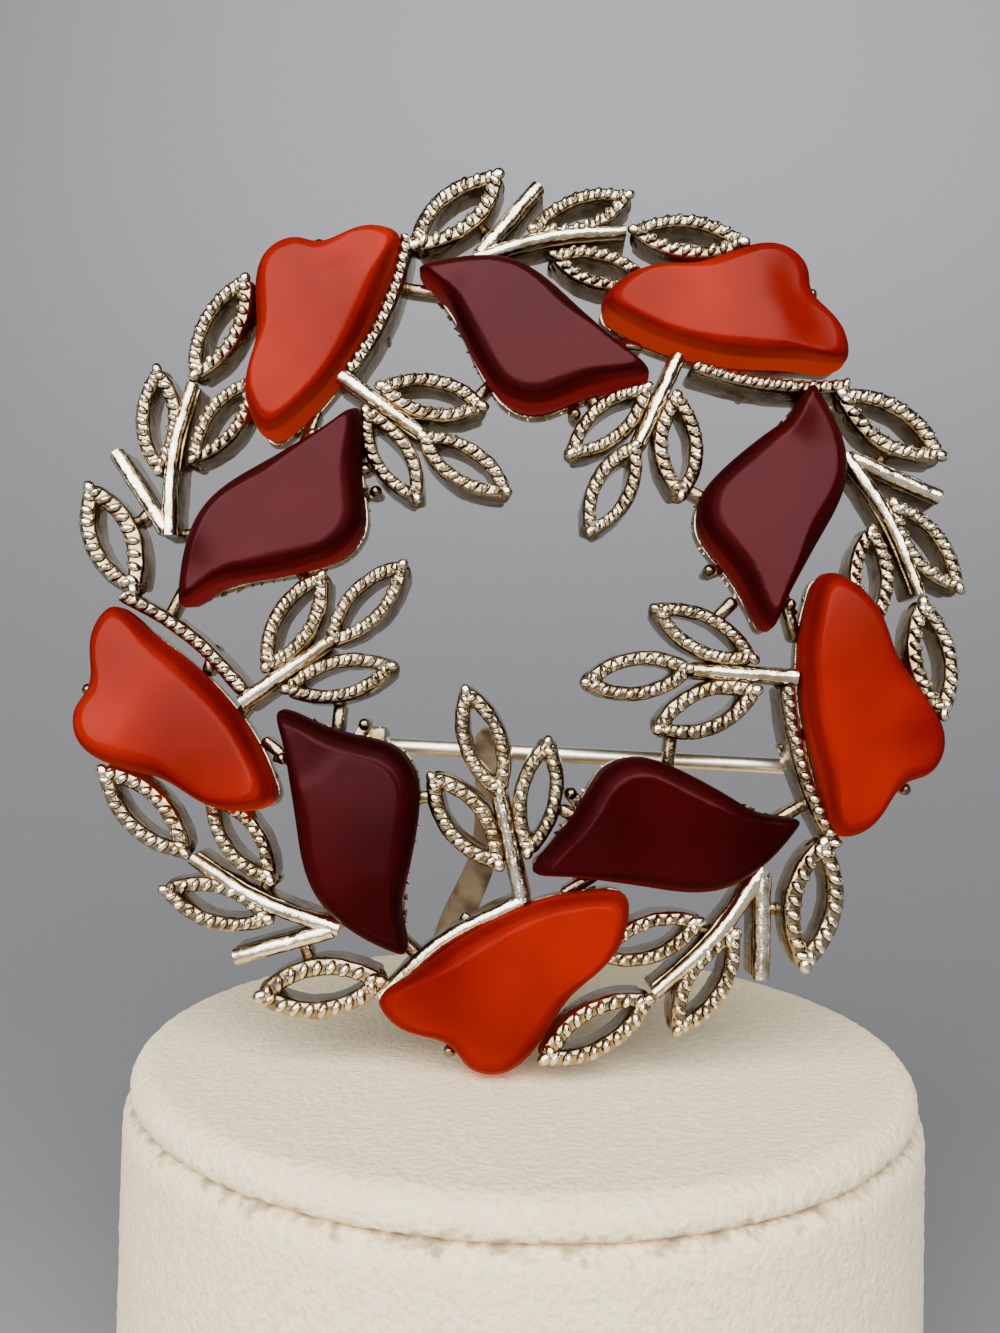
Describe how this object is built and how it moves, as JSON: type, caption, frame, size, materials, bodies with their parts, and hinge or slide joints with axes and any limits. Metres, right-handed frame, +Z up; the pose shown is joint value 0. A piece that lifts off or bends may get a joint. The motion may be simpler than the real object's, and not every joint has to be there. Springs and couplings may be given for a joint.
{
  "type": "wreath brooch on a display stand",
  "caption": "Round openwork wreath brooch of rope-edged leaves and moulded stones with a turning pin, leaning on a low round flocked stand.",
  "frame": {"origin": "centre of the stand's underside, on the surface that it stands on", "axes": "+Z up, -Y towards the front of the brooch, +X to the viewer's right"},
  "size_m": [0.0555, 0.0508, 0.0783],
  "materials": {
    "gilt_metal": "polished",
    "orange_stone": "glossy",
    "wine_stone": "glossy",
    "cream_flock": "flocked",
    "tan_strip": "matt"
  },
  "bodies": {
    "body": {"frame": "gilt_metal", "orange_leaf_1": "orange_stone", "orange_leaf_2": "orange_stone", "orange_leaf_3": "orange_stone", "orange_leaf_4": "orange_stone", "orange_leaf_5": "orange_stone", "wine_leaf_1": "wine_stone", "wine_leaf_2": "wine_stone", "wine_leaf_3": "wine_stone", "wine_leaf_4": "wine_stone", "wine_leaf_5": "wine_stone", "stand_pad": "cream_flock", "stand_base": "cream_flock", "prop_strip": "tan_strip"},
    "pin": {"pin_stem": "gilt_metal"}
  },
  "joints": [
    {"name": "pin_hinge", "type": "hinge", "parent": "body", "child": "pin", "pos_m": [-0.00976, -0.00401, 0.04045], "axis": [0.0323, 0.0888, 0.9955], "range_deg": [0, 100]}
  ]
}
